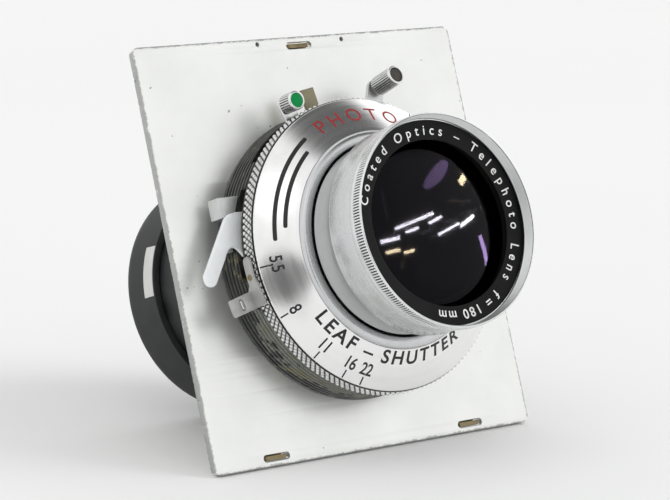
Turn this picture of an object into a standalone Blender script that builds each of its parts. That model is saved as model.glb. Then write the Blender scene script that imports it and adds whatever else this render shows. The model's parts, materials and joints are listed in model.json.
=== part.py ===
"""A telephoto taking lens in a rim-set leaf shutter, screwed to a flat lens board.

Everything is laid out in the optical frame: X to the right seen from the front, Y up along the board and
Z forward, out of the front glass, with its origin on the optical axis at the board's front face.
One empty turns and lifts that frame, so that the lens stands as it does on a table: on the bottom edge of
its board and the rim of its rear cell. Lengths below are millimetres, and MM turns them into metres.
"""

import math

import bmesh
import bpy

MM = 0.001
GAP = 0.3  # kept between pieces that touch

# Lens board
BOARD_WIDTH = 96.0
BOARD_HEIGHT = 102.0
BOARD_THICKNESS = 1.8
BOARD_CORNER = 1.8
AXIS_BELOW_CENTRE = 3.9
BOARD_TOP = BOARD_HEIGHT / 2 + AXIS_BELOW_CENTRE
BOARD_BOTTOM = BOARD_TOP - BOARD_HEIGHT
BOARD_HOLE_R = 20.8
SLOT_LENGTH = 7.6
SLOT_WIDTH = 1.7
SLOTS = ((0.5, BOARD_TOP - 2.2), (-30.0, BOARD_BOTTOM + 2.0), (29.2, BOARD_BOTTOM + 2.0))

# Shutter
HOUSING_R = 35.2
HOUSING_WALL = 1.6
HOUSING_FRONT = 10.4
THREAD_TUBE_R = 20.0
THREAD_BORE_R = 17.4
THREAD_TUBE_BACK = -5.0
RIM_R = 35.94
RIM_BACK = 11.5
RIM_FRONT = 14.5
FACE_EDGE_R = 35.4
FACE_INNER_R = 26.7
FACE_EDGE_Z = 14.8
FACE_INNER_Z = 20.6
COLLAR_FRONT = 22.0
COLLAR_OUTER_R = 26.4
COLLAR_INNER_R = 23.8

# Blades: the shutter's and the iris's share one shape and one pivot circle
CLEAR_R = 15.2
BLADES = 5
BLADE_PIVOT_R = 24.0
BLADE_OUTER_R = 26.4
BLADE_ARC = 64.0
BLADE_THICKNESS = 0.2
BLADE_PITCH = BLADE_THICKNESS + GAP
STUD_R = 0.5
SHUTTER_BLADES_Z = 3.3
SHUTTER_CLOSED_DEG = 42.0
IRIS_BLADES_Z = 8.2

# Cells
FRONT_RIM_R = 25.51
FRONT_RIM_Z = 43.3
FRONT_RIM_BACK = 39.7
FRONT_RIM_INNER_R = 24.67
FRONT_GLASS_R = 20.6
REAR_RIM_R = 29.52
REAR_RIM_Z = -49.8
REAR_RIM_START = -39.8
REAR_BARREL_R = 26.2

# Controls: angles are degrees counter-clockwise from +X, seen from the front
APERTURE_LEVER_DEG = (178.5, 197.0)
APERTURE_EAR_DEG = 194.0
RELEASE_PIVOT = (-29.0, 8.8)
RELEASE_STOP_DEG = 173.0
COCKING_DEG = 67.8
COCKING_KNOB_R = 42.4
COCKING_KNOB_TILT = 10.0
SELECTOR_DEG = 110.3
SELECTOR_POST_R = 39.1
CATCH_DEG = 99.0

ROUND = 36  # sides of a large turned piece
GLASS = 24  # sides of what is sealed inside the cells
FINE = 16  # sides of a knob or a screw

# The lens stands on the board's lower rear edge and on the rear rim, so the board leans back by this much
LEAN = math.atan2(-REAR_RIM_R - BOARD_BOTTOM, -BOARD_THICKNESS - REAR_RIM_Z)
SIN, COS = math.sin(LEAN), math.cos(LEAN)
REACH_FRONT = -FRONT_RIM_Z * COS - FRONT_RIM_R * SIN
REACH_BACK = -REAR_RIM_Z * COS + REAR_RIM_R * SIN
ORIGIN_Y = -(REACH_FRONT + REACH_BACK) / 2
ORIGIN_Z = -(-BOARD_THICKNESS * SIN + BOARD_BOTTOM * COS)

PARTS = "lens_in_leaf_shutter"
CUTTERS = "cutters"


def clear_scene():
    for obj in list(bpy.data.objects):
        bpy.data.objects.remove(obj)
    for name in (PARTS, CUTTERS):
        bpy.context.scene.collection.children.link(bpy.data.collections.new(name))


def material(name, colour, roughness, metallic=0.0, alpha=1.0):
    made = bpy.data.materials.new(name)
    made.use_nodes = True
    shader = made.node_tree.nodes["Principled BSDF"]
    shader.inputs["Base Color"].default_value = (*colour, 1.0)
    shader.inputs["Roughness"].default_value = roughness
    shader.inputs["Metallic"].default_value = metallic
    shader.inputs["Alpha"].default_value = alpha
    made.diffuse_color = (*colour, 1.0)
    return made


def polar(radius, degrees):
    angle = math.radians(degrees)
    return radius * math.cos(angle), radius * math.sin(angle)


def arc(radius, start, end, steps, centre=(0.0, 0.0)):
    """Points from angle start to angle end, both included."""
    return [
        (centre[0] + x, centre[1] + y)
        for x, y in (polar(radius, start + (end - start) * i / steps) for i in range(steps + 1))
    ]


def empty(name, parent, place=(0.0, 0.0, 0.0), turn=0.0):
    made = bpy.data.objects.new(name, None)
    made.empty_display_size = 5 * MM
    bpy.data.collections[PARTS].objects.link(made)
    made.parent = parent
    made.location = [v * MM for v in place]
    made.rotation_euler = (0.0, 0.0, math.radians(turn))
    return made


def add(name, data, parent, look, place=(0.0, 0.0, 0.0), collection=PARTS):
    made = bpy.data.objects.new(name, data)
    bpy.data.collections[collection].objects.link(made)
    made.parent = parent
    made.location = [v * MM for v in place]
    if look:
        made.data.materials.append(look)
    if collection == CUTTERS:
        made.hide_render = True
        made.display_type = "WIRE"
    return made


def turned(name, profile, parent, look, sides=ROUND, solid=False, collection=PARTS, place=(0.0, 0.0, 0.0)):
    """A piece turned about Z. The profile is (radius, z) points: in at the top, then down the outer side.
    A solid piece starts and ends on the axis, and any other profile closes on itself."""
    mesh = bpy.data.meshes.new(name)
    edges = [(i, i + 1) for i in range(len(profile) - 1)]
    if not solid:
        edges.append((len(profile) - 1, 0))
    mesh.from_pydata([(r * MM, 0.0, z * MM) for r, z in profile], edges, [])
    made = add(name, mesh, parent, look, place, collection)
    screw = made.modifiers.new("Turn", "SCREW")
    screw.steps = screw.render_steps = sides
    screw.use_merge_vertices = True
    screw.merge_threshold = 0.00001
    screw.use_smooth_shade = True
    return made


def ring(inner, outer, low, high):
    return [(inner, high), (outer, high), (outer, low), (inner, low)]


def rod(radius, low, high):
    return [(0.0, high), (radius, high), (radius, low), (0.0, low)]


def plate(name, loops, low, high, parent, look, collection=PARTS):
    """A flat piece: an outline, with any further loops as its holes, from z low to z high."""
    curve = bpy.data.curves.new(name, "CURVE")
    curve.dimensions = "2D"
    curve.fill_mode = "BOTH"
    curve.extrude = (high - low) / 2 * MM
    for loop in loops:
        spline = curve.splines.new("POLY")
        spline.points.add(len(loop) - 1)
        for point, (x, y) in zip(spline.points, loop):
            point.co = (x * MM, y * MM, 0.0, 1.0)
        spline.use_cyclic_u = True
    return add(name, curve, parent, look, (0.0, 0.0, (low + high) / 2), collection)


def as_mesh(obj):
    """The curve as a closed mesh of the same name, which a Boolean can cut or join."""
    bpy.context.view_layer.update()
    mesh = bpy.data.meshes.new_from_object(obj.evaluated_get(bpy.context.evaluated_depsgraph_get()))
    shape = bmesh.new()
    shape.from_mesh(mesh)
    bmesh.ops.remove_doubles(shape, verts=shape.verts, dist=0.000001)
    bmesh.ops.recalc_face_normals(shape, faces=shape.faces)
    shape.to_mesh(mesh)
    shape.free()
    name, parent, place = obj.name, obj.parent, [v / MM for v in obj.location]
    home = CUTTERS if obj.hide_render else PARTS
    bpy.data.objects.remove(obj)
    return add(name, mesh, parent, None, place, home)


def box(name, low, high, parent, look=None, collection=PARTS):
    mesh = bpy.data.meshes.new(name)
    shape = bmesh.new()
    bmesh.ops.create_cube(shape, size=1.0)
    sides = [(b - a) * MM for a, b in zip(low, high)]
    bmesh.ops.scale(shape, vec=sides, verts=shape.verts)
    shape.to_mesh(mesh)
    shape.free()
    middle = [(a + b) / 2 for a, b in zip(low, high)]
    return add(name, mesh, parent, look, middle, collection)


def sector(inner, outer, start, end, steps):
    return arc(outer, start, end, steps) + arc(inner, end, start, steps)


def combine(obj, operation, other):
    boolean = obj.modifiers.new(operation.title(), "BOOLEAN")
    boolean.operation = operation
    boolean.object = other


def slot_outline(centre, length, width, steps=6):
    x, y = centre
    reach = (length - width) / 2
    right = arc(width / 2, -90, 90, steps, (x + reach, y))
    left = arc(width / 2, 90, 270, steps, (x - reach, y))
    return right + left


def rounded_rectangle(left, right, bottom, top, radius, steps=4):
    corners = (
        (right - radius, top - radius, 0),
        (left + radius, top - radius, 90),
        (left + radius, bottom + radius, 180),
        (right - radius, bottom + radius, 270),
    )
    points = []
    for x, y, start in corners:
        points += arc(radius, start, start + 90, steps, (x, y))
    return points


def blade_outline():
    """A leaf in its open place, in the ring round the clear opening, about a pivot on +X at BLADE_PIVOT_R."""
    boss = BLADE_OUTER_R - BLADE_PIVOT_R
    outer = arc(BLADE_OUTER_R, 2, BLADE_ARC, 8)
    inner = arc(CLEAR_R, BLADE_ARC, 12, 7)
    around = arc(boss, 200, 370, 6, (BLADE_PIVOT_R, 0.0))
    return [(x - BLADE_PIVOT_R, y) for x, y in outer + inner + around]


def blades(kind, first_z, turn, parent, look):
    """Five leaves, each a level above the last, and each turning on its own stud."""
    hole = arc(STUD_R + GAP, 0, 324, 9)
    for i in range(BLADES):
        around = empty(f"{kind}_sector_{i + 1}", parent, turn=360.0 / BLADES * i)
        pivot = empty(f"{kind}_pivot_{i + 1}", around, (BLADE_PIVOT_R, 0.0, 0.0), turn)
        low = first_z + BLADE_PITCH * i
        plate(f"{kind}_blade_{i + 1}", [blade_outline(), hole], low, low + BLADE_THICKNESS, pivot, look)


def studded_plate(name, low, high, stud_top, outer, parent, look):
    """A flat ring round the opening, with a stud for each leaf."""
    base = turned(name, ring(CLEAR_R, outer, low, high), parent, look)
    for i in range(BLADES):
        x, y = polar(BLADE_PIVOT_R, 360.0 / BLADES * i)
        sunk = (high - low) / 2
        stud = turned(
            f"{name}_stud_{i + 1}", rod(STUD_R, high - sunk, stud_top), parent, None, 8, True, CUTTERS, (x, y, 0.0)
        )
        combine(base, "UNION", stud)
    return base


def lens_board(optical, looks):
    outline = rounded_rectangle(-BOARD_WIDTH / 2, BOARD_WIDTH / 2, BOARD_BOTTOM, BOARD_TOP, BOARD_CORNER)
    slots = [slot_outline(centre, SLOT_LENGTH, SLOT_WIDTH) for centre in SLOTS]
    hole = arc(BOARD_HOLE_R, 0, 350, 35)
    plate("lens_board", [outline, hole, *slots], -BOARD_THICKNESS, 0.0, optical, looks["board"])


def light_trap_frame(optical, looks):
    """A sheet frame behind the board. Three ears reach into the board's slots, where they are staked."""
    back = -BOARD_THICKNESS - GAP
    outer = rounded_rectangle(-39.0, 39.0, BOARD_BOTTOM + 5.0, BOARD_TOP - 5.0, 3.0, 3)
    inner = rounded_rectangle(-33.0, 33.0, BOARD_BOTTOM + 11.0, BOARD_TOP - 11.0, 3.0, 3)
    frame = as_mesh(plate("light_trap_frame", [outer, inner], back - 1.0, back, optical, None))
    frame.data.materials.append(looks["brass"])
    for i, (x, y) in enumerate(SLOTS):
        middle = (BOARD_TOP + BOARD_BOTTOM) / 2
        toward = 1.0 if y > middle else -1.0
        near = y - toward * 5.0
        half = SLOT_LENGTH / 2 - 0.9
        foot = box(
            f"ear_foot_{i + 1}",
            (x - half, min(near, y + toward * 0.5), back - 0.8),
            (x + half, max(near, y + toward * 0.5), back - 0.2),
            optical,
            collection=CUTTERS,
        )
        tab = box(
            f"ear_tab_{i + 1}",
            (x - half, y - 0.5, back - 0.5),
            (x + half, y + 0.5, -0.4),
            optical,
            collection=CUTTERS,
        )
        combine(frame, "UNION", foot)
        combine(frame, "UNION", tab)


def shutter_case(optical, looks):
    """The housing: a back, a wall and the threaded tube that passes through the board."""
    inside = HOUSING_R - HOUSING_WALL
    profile = [
        (inside, HOUSING_FRONT),
        (HOUSING_R, HOUSING_FRONT),
        (HOUSING_R, GAP),
        (THREAD_TUBE_R, GAP),
        (THREAD_TUBE_R, THREAD_TUBE_BACK),
        (THREAD_BORE_R, THREAD_TUBE_BACK),
        (THREAD_BORE_R, 1.5),
        (inside, 1.5),
    ]
    housing = turned("shutter_housing", profile, optical, looks["black_case"])
    windows = (
        ("release_window", 150.0, 187.0, 7.4, 9.2),
        ("selector_window", 91.0, 138.0, 7.4, 9.2),
        ("cocking_window", 8.0, 74.0, 5.5, 7.3),
    )
    for name, start, end, low, high in windows:
        steps = max(3, round((end - start) / 9))
        cutter = plate(name, [sector(30.0, 38.0, start, end, steps)], low, high, optical, None, CUTTERS)
        combine(housing, "DIFFERENCE", as_mesh(cutter))
    retaining = ring(THREAD_TUBE_R + GAP, 24.5, -4.4, -BOARD_THICKNESS - GAP)
    turned("board_retaining_ring", retaining, optical, looks["dark_metal"])


def shutter_works(optical, looks):
    """What sits inside the housing, from back to front."""
    studded_plate("shutter_base_plate", 2.1, 3.0, 5.75, 33.2, optical, looks["steel"])
    blades("shutter", SHUTTER_BLADES_Z, SHUTTER_CLOSED_DEG, optical, looks["blade"])
    turned("blade_drive_ring", ring(16.0, 26.0, 6.1, 6.9), optical, looks["steel"])
    studded_plate("iris_base_plate", 7.2, 7.9, 10.45, 26.8, optical, looks["steel"])
    blades("iris", IRIS_BLADES_Z, 0.0, optical, looks["blade"])
    mainspring(optical, looks)
    escapement(optical, looks)


def mainspring(optical, looks):
    """A wire that lies round the inside of the wall and pulls the cocking ring back."""
    curve = bpy.data.curves.new("mainspring", "CURVE")
    curve.dimensions = "3D"
    curve.bevel_depth = 0.45 * MM
    curve.bevel_resolution = 1
    curve.use_fill_caps = True
    spline = curve.splines.new("POLY")
    route = arc(31.6, -160, -60, 14) + [polar(29.6, -58)]
    spline.points.add(len(route) - 1)
    for point, (x, y) in zip(spline.points, route):
        point.co = (x * MM, y * MM, 4.6 * MM, 1.0)
    add("mainspring", curve, optical, looks["steel"])


def gear_outline(teeth, root, tip):
    points = []
    for i in range(teeth):
        for share, radius in ((0.0, root), (0.3, tip), (0.5, tip), (0.8, root)):
            points.append(polar(radius, 360.0 * (i + share) / teeth))
    return points


def escapement(optical, looks):
    """Two wheels of the train that times the slow speeds, on posts of the base plate."""
    wheels = (
        ("retard_wheel", polar(30.2, -32), 14, 2.1, 2.5),
        ("retard_pinion", polar(30.2, -22.8), 10, 1.6, 2.0),
    )
    for name, (x, y), teeth, root, tip in wheels:
        axle = empty(f"{name}_axle", optical, (x, y, 0.0))
        hole = arc(0.8, 0, 315, 7)
        plate(name, [gear_outline(teeth, root, tip), hole], 3.4, 4.4, axle, looks["brass"])
        turned(f"{name}_post", rod(0.5, 3.3, 4.9), axle, looks["steel"], 8, True)


def aperture_control(optical, looks):
    """The cam ring that closes the iris, and the bent lever that carries its index over the rim."""
    turned("aperture_ring", ring(CLEAR_R + 0.3, HOUSING_R - 0.2, 10.7, 11.2), optical, looks["steel"])
    start, end = APERTURE_LEVER_DEG
    wrap = plate("aperture_lever", [sector(36.3, 37.0, start, end, 5)], 10.2, 15.0, optical, None)
    lever = as_mesh(wrap)
    lever.data.materials.append(looks["grey_metal"])
    direction = math.radians(APERTURE_EAR_DEG)
    along = (math.cos(direction), math.sin(direction))
    across = (-along[1], along[0])
    corners = ((35.6, -2.1), (43.3, -2.1), (43.3, 2.1), (35.6, 2.1))
    ear = [(r * along[0] + s * across[0], r * along[1] + s * across[1]) for r, s in corners]
    combine(lever, "UNION", as_mesh(plate("aperture_ear", [ear], 10.2, 11.2, optical, None, CUTTERS)))


def front_of_shutter(optical, looks):
    mount = [
        (THREAD_BORE_R, 20.0),
        (THREAD_TUBE_R, 20.0),
        (THREAD_TUBE_R, 12.5),
        (31.0, 12.5),
        (31.0, 11.5),
        (THREAD_BORE_R, 11.5),
    ]
    turned("front_mount_tube", mount, optical, looks["dark_metal"])
    turned("speed_ring", ring(31.5, RIM_R, RIM_BACK, RIM_FRONT), optical, looks["satin"])
    face = [
        (FACE_INNER_R, FACE_INNER_Z),
        (FACE_EDGE_R, FACE_EDGE_Z + 0.4),
        (FACE_EDGE_R, FACE_EDGE_Z),
        (31.0, FACE_EDGE_Z),
        (FACE_INNER_R, FACE_INNER_Z - 3.6),
    ]
    turned("face_plate", face, optical, looks["brushed"])
    collar = [
        (COLLAR_INNER_R, COLLAR_FRONT),
        (COLLAR_OUTER_R - 0.4, COLLAR_FRONT - 0.2),
        (COLLAR_OUTER_R, COLLAR_FRONT - 0.8),
        (COLLAR_OUTER_R, 16.5),
        (20.4, 16.5),
        (20.4, 18.0),
        (COLLAR_INNER_R, 18.0),
    ]
    turned("face_collar", collar, optical, looks["brushed"])


def release_control(optical, looks):
    """The finger lever, the stud that it turns on, its stop, and the cable release socket with its plunger."""
    px, py = RELEASE_PIVOT
    outline = (
        arc(3.0, -60, 75, 5, RELEASE_PIVOT)
        + [(-34.0, 12.3), (-36.3, 11.9), (-37.7, 11.0), (-38.5, 9.7), (-46.5, -1.9)]
        + arc(1.8, 196, 330, 4, (-44.6, -2.6))
        + [(-39.0, 2.4), (-38.0, 3.7), (-36.9, 4.2), (-35.7, 3.6), (-34.3, 1.8), (-31.6, 2.6)]
    )
    pivot = empty("release_axis", optical, (px, py, 0.0))
    local = [(x - px, y - py) for x, y in outline]
    plate("release_lever", [local, arc(1.6, 0, 324, 9)], 7.8, 8.8, pivot, looks["bright"])
    turned("release_pivot_stud", rod(1.3, 3.3, 9.4), pivot, looks["steel"], FINE, True)

    x, y = polar(36.6, RELEASE_STOP_DEG)
    box("lever_stop", (x - 1.0, y - 1.1, 4.0), (x + 1.0, y + 1.1, 6.6), optical, looks["grey_metal"])

    socket = box("release_socket", (-37.6, 11.4, 3.2), (-29.0, 16.3, 7.3), optical, looks["bright"])
    relief = turned("socket_relief", rod(HOUSING_R + GAP, 0.0, 12.0), optical, None, ROUND, True, CUTTERS)
    combine(socket, "DIFFERENCE", relief)
    bore = turned("socket_bore", rod(0.9, -4.0, 4.0), optical, None, 12, True, CUTTERS)
    bore.location = (-35.8 * MM, 14.0 * MM, 5.25 * MM)
    bore.rotation_euler = (math.radians(90), 0.0, 0.0)
    combine(socket, "DIFFERENCE", bore)
    plunger = turned("release_plunger", rod(0.55, -2.0, 2.0), optical, looks["steel"], 8, True)
    plunger.location = (-35.8 * MM, 13.8 * MM, 5.25 * MM)
    plunger.rotation_euler = (math.radians(90), 0.0, 0.0)


def cocking_control(optical, looks):
    """The ring that stretches the mainspring, its arm through the case, and the knurled grip on the arm."""
    cocking = turned("cocking_ring", ring(26.4, 28.6, 5.9, 6.9), optical, looks["steel"])
    turn = math.radians(COCKING_DEG)
    along, across = (math.cos(turn), math.sin(turn)), (-math.sin(turn), math.cos(turn))
    half = 3.0
    sides = [(27.5, -half), (COCKING_KNOB_R, -half)]
    tip = arc(half, -90, 90, 6, (COCKING_KNOB_R, 0.0))
    flat = sides[:1] + tip + [(27.5, half)]
    outline = [(r * along[0] + s * across[0], r * along[1] + s * across[1]) for r, s in flat]
    combine(cocking, "UNION", as_mesh(plate("cocking_arm", [outline], 5.95, 6.85, optical, None, CUTTERS)))

    stand = empty("cocking_knob_stand", optical, (*polar(COCKING_KNOB_R, COCKING_DEG), 6.85), COCKING_DEG)
    tilt = empty("cocking_knob_axis", stand)
    tilt.rotation_euler = (0.0, math.radians(COCKING_KNOB_TILT), 0.0)
    grip = [(0.0, 7.0), (1.7, 7.0), (1.7, 8.0), (2.3, 8.0), (2.4, 7.7), (2.4, 0.9), (1.8, 0.75), (0.0, 0.75)]
    turned("cocking_knob", grip, tilt, looks["satin"], FINE, True)
    turned("cocking_knob_insert", rod(1.4, 7.3, 7.9), tilt, looks["rubber"], FINE, True)


def selector_control(optical, looks):
    """The flash and self-timer selector: a ring sector, an arm, a post with a green dot, and a catch."""
    turn = math.radians(SELECTOR_DEG)
    along, across = (math.cos(turn), math.sin(turn)), (-math.sin(turn), math.cos(turn))
    flat = [(27.8, -2.0), (SELECTOR_POST_R, -2.0)] + arc(2.0, -90, 90, 5, (SELECTOR_POST_R, 0.0)) + [(27.8, 2.0)]
    outline = [(r * along[0] + s * across[0], r * along[1] + s * across[1]) for r, s in flat]
    foot = sector(27.2, 29.8, SELECTOR_DEG - 8, SELECTOR_DEG + 8, 3)
    lever = as_mesh(plate("selector_lever", [outline], 7.8, 8.8, optical, None))
    lever.data.materials.append(looks["bright"])
    combine(lever, "UNION", as_mesh(plate("selector_foot", [foot], 7.85, 8.75, optical, None, CUTTERS)))

    x, y = polar(SELECTOR_POST_R, SELECTOR_DEG)
    post = [(0.0, 12.9), (1.7, 12.9), (1.7, 13.3), (2.2, 13.3), (2.35, 13.1), (2.35, 9.1), (0.0, 9.1)]
    turned("selector_post", post, optical, looks["satin"], FINE, True, place=(x, y, 0.0))
    turned("selector_dot", rod(1.4, 13.2, 13.5), optical, looks["green"], FINE, True, place=(x, y, 0.0))

    catch = empty("catch_slide", optical, turn=CATCH_DEG)
    box("selector_catch", (30.6, -2.0, 7.8), (40.6, 2.0, 8.6), catch, looks["brass"])


def front_cell(optical, looks):
    barrel = [
        (20.9, 39.4),
        (24.3, 39.4),
        (24.9, 38.8),
        *front_neck(),
        (21.4, 20.3),
        (17.1, 20.3),
        (17.1, 12.2),
        (15.4, 12.2),
        (15.4, 23.6),
        (20.9, 24.6),
    ]
    turned("front_cell_barrel", barrel, optical, looks["satin"])
    rim = ring(FRONT_RIM_INNER_R, FRONT_RIM_R, FRONT_RIM_BACK, FRONT_RIM_Z)
    turned("front_knurled_rim", rim, optical, looks["bright"])
    trim = [(19.7, 39.9), (24.3, 40.4), (24.3, 39.8), (19.7, 39.4)]
    turned("front_trim_ring", trim, optical, looks["black_trim"])
    front = dome(FRONT_GLASS_R, 37.0, 3.0, 1) + [(FRONT_GLASS_R, 33.4)] + dome(17.5, 33.4, -1.6, -1)
    turned("front_glass", front, optical, looks["glass"], GLASS, True)
    turned("front_glass_spacer", ring(19.2, 20.6, 28.9, 33.1), optical, looks["black_trim"], GLASS)
    inner = dome(20.6, 28.6, 0.8, 1) + [(20.6, 24.9)] + dome(15.0, 24.9, 1.2, -1)
    turned("front_inner_glass", inner, optical, looks["glass"], GLASS, True)


def front_neck():
    """The hollow sweep from the barrel's full width down to the neck that enters the collar."""
    sweep = []
    for i in range(5):
        angle = math.radians(90 * i / 4)
        sweep.append((24.9 - 3.5 * math.sin(angle), 26.6 + 3.8 * math.cos(angle)))
    return sweep


def dome(radius, edge_z, rise, side, steps=3):
    """A lens surface from the axis out (side 1) or from its edge in (side -1): a shallow parabola."""
    points = [(radius * i / steps, edge_z + rise * (1 - (i / steps) ** 2)) for i in range(steps + 1)]
    return points if side > 0 else points[::-1]


def rear_cell(optical, looks):
    barrel = [
        (15.4, 1.0),
        (17.1, 1.0),
        (17.1, -5.3),
        (20.5, -5.3),
        (22.0, -6.0),
        (REAR_BARREL_R, -11.0),
        (REAR_BARREL_R, -46.3),
        (24.5, -46.3),
        (24.5, -14.0),
        (15.4, -9.0),
    ]
    turned("rear_cell_barrel", barrel, optical, looks["black_metal"])
    rim = [
        (REAR_BARREL_R + GAP, REAR_RIM_START),
        (28.4, REAR_RIM_START),
        (REAR_RIM_R, -48.4),
        (REAR_RIM_R, REAR_RIM_Z),
        (25.4, REAR_RIM_Z),
        (25.4, -46.6),
        (REAR_BARREL_R + GAP, -46.6),
    ]
    turned("rear_rim", rim, optical, looks["black_metal"])
    inner = dome(15.1, -2.6, -1.4, 1) + [(15.1, -7.0)] + dome(15.1, -7.0, 1.2, -1)
    turned("rear_inner_glass", inner, optical, looks["glass"], GLASS, True)
    turned("rear_baffle_tube", ring(22.6, 24.2, -36.6, -14.6), optical, looks["black_trim"], GLASS)
    outer = dome(24.2, -36.9, -2.2, 1) + [(24.2, -44.0)] + dome(22.0, -44.0, -1.4, -1)
    turned("rear_glass", outer, optical, looks["glass"], GLASS, True)
    turned("rear_glass_ring", ring(22.3, 24.2, -46.4, -44.3), optical, looks["black_trim"], GLASS)


def main():
    clear_scene()
    looks = {
        "board": material("board", (0.78, 0.79, 0.77), 0.42, 0.6),
        "black_case": material("black_case", (0.03, 0.03, 0.032), 0.5),
        "black_metal": material("black_metal", (0.025, 0.026, 0.028), 0.45),
        "black_trim": material("black_trim", (0.012, 0.012, 0.013), 0.4),
        "dark_metal": material("dark_metal", (0.12, 0.12, 0.12), 0.4, 0.8),
        "steel": material("steel", (0.55, 0.56, 0.57), 0.35, 1.0),
        "blade": material("blade", (0.09, 0.095, 0.1), 0.4, 0.9),
        "satin": material("satin", (0.72, 0.73, 0.74), 0.32, 1.0),
        "bright": material("bright", (0.82, 0.83, 0.84), 0.22, 1.0),
        "brushed": material("brushed", (0.8, 0.8, 0.8), 0.3, 1.0),
        "grey_metal": material("grey_metal", (0.5, 0.5, 0.51), 0.45, 0.8),
        "brass": material("brass", (0.45, 0.38, 0.2), 0.4, 0.9),
        "green": material("green", (0.0, 0.35, 0.1), 0.4),
        "rubber": material("rubber", (0.06, 0.06, 0.05), 0.8),
        "glass": material("glass", (0.25, 0.22, 0.3), 0.03, 0.0, 0.4),
    }
    optical = empty("optical_axis", None, (0.0, ORIGIN_Y, ORIGIN_Z))
    optical.rotation_euler = (math.pi / 2 - LEAN, 0.0, 0.0)
    lens_board(optical, looks)
    light_trap_frame(optical, looks)
    shutter_case(optical, looks)
    shutter_works(optical, looks)
    aperture_control(optical, looks)
    front_of_shutter(optical, looks)
    release_control(optical, looks)
    cocking_control(optical, looks)
    selector_control(optical, looks)
    front_cell(optical, looks)
    rear_cell(optical, looks)
    for obj in bpy.data.collections[PARTS].objects:
        if obj.type == "MESH":
            obj.data.shade_smooth()


main()
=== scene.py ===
"""The looks of a telephoto taking lens in a rim-set leaf shutter, on its lens board.

Every piece is made in the optical frame: X to the right seen from the front, Y up along the board and Z
forward, from an origin on the optical axis at the board's front face. Lengths are millimetres there, and MM
turns them into metres. Angles are degrees counter-clockwise from +X, seen from the front.
"""

import json
import math
import random

import bmesh
import bpy
from mathutils import Matrix, Vector

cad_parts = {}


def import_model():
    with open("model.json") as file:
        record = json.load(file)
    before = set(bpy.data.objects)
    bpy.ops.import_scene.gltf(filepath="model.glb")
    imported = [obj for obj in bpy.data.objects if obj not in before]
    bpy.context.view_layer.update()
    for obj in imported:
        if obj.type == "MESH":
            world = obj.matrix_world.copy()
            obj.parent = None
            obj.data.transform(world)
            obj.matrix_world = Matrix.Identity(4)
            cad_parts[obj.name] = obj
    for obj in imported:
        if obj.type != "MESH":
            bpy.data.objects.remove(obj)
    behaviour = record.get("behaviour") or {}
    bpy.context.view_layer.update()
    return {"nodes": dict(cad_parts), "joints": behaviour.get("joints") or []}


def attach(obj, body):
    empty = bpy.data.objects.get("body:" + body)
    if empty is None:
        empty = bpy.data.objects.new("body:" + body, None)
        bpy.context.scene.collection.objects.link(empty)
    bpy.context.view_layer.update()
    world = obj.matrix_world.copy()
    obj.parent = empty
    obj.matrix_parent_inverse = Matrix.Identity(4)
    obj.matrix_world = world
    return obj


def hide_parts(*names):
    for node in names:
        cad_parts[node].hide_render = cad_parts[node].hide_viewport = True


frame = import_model()

MM = 0.001
CASE = "lens_and_case"  # the body that everything fixed rides on
random.seed(7)

turn_joint = next(j for j in frame["joints"] if j["name"] == "aperture_turn")
FORWARD = Vector(turn_joint["axis"]).normalized()
RIGHT = Vector((1.0, 0.0, 0.0))
UP = FORWARD.cross(RIGHT)
OPTICAL = Matrix((RIGHT, UP, FORWARD)).transposed().to_4x4()
OPTICAL.translation = Vector(turn_joint["pos_m"])

BOARD_TOP = 54.9
BOARD_BOTTOM = -47.1
BOARD_SIDE = 48.0  # half the board's width
BOARD_THICK = 1.8
SLOTS = ((0.5, 52.7), (-30.0, -45.1), (29.2, -45.1))
PUNCH_MARKS = ((-11.8, 53.6), (13.8, 53.5))
CASE_RADIUS = 35.2
RIM_RADIUS = 35.94
FACE_EDGE = (35.4, 15.2)  # radius and height of the conical face's outer edge
FACE_INNER = (26.7, 20.6)  # and of its inner edge
BARREL_RADIUS = 24.9
GLASS_RADIUS = 20.6
TRIM_RADIUS = 19.7  # the trim ring's inner edge
REAR_RADIUS = 26.2
REAR_GLASS_RADIUS = 24.2
COCKING_DEG = 67.8
SELECTOR_DEG = 110.3
APERTURE_DEG = 194.0


# ---------------------------------------------------------------- shapes


def polar(radius, degrees, centre=(0.0, 0.0)):
    """The point at that radius and angle from the centre."""
    angle = math.radians(degrees)
    return centre[0] + radius * math.cos(angle), centre[1] + radius * math.sin(angle)


def arc(radius, start, end, steps, centre=(0.0, 0.0)):
    return [polar(radius, start + (end - start) * i / steps, centre) for i in range(steps + 1)]


def sector(inner, outer, start, end, steps):
    return arc(outer, start, end, steps) + arc(inner, end, start, steps)


def slot_outline(centre, length, width, steps=10):
    x, y = centre
    reach = (length - width) / 2
    return arc(width / 2, -90, 90, steps, (x + reach, y)) + arc(width / 2, 90, 270, steps, (x - reach, y))


def tidy(shape, mesh=None):
    """Welds the bmesh, turns its faces outward and returns it as a mesh."""
    bmesh.ops.remove_doubles(shape, verts=shape.verts, dist=0.000002)
    bmesh.ops.dissolve_degenerate(shape, edges=shape.edges, dist=0.000002)
    bmesh.ops.recalc_face_normals(shape, faces=shape.faces)
    mesh = mesh or bpy.data.meshes.new("made")
    shape.to_mesh(mesh)
    shape.free()
    return mesh


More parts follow.
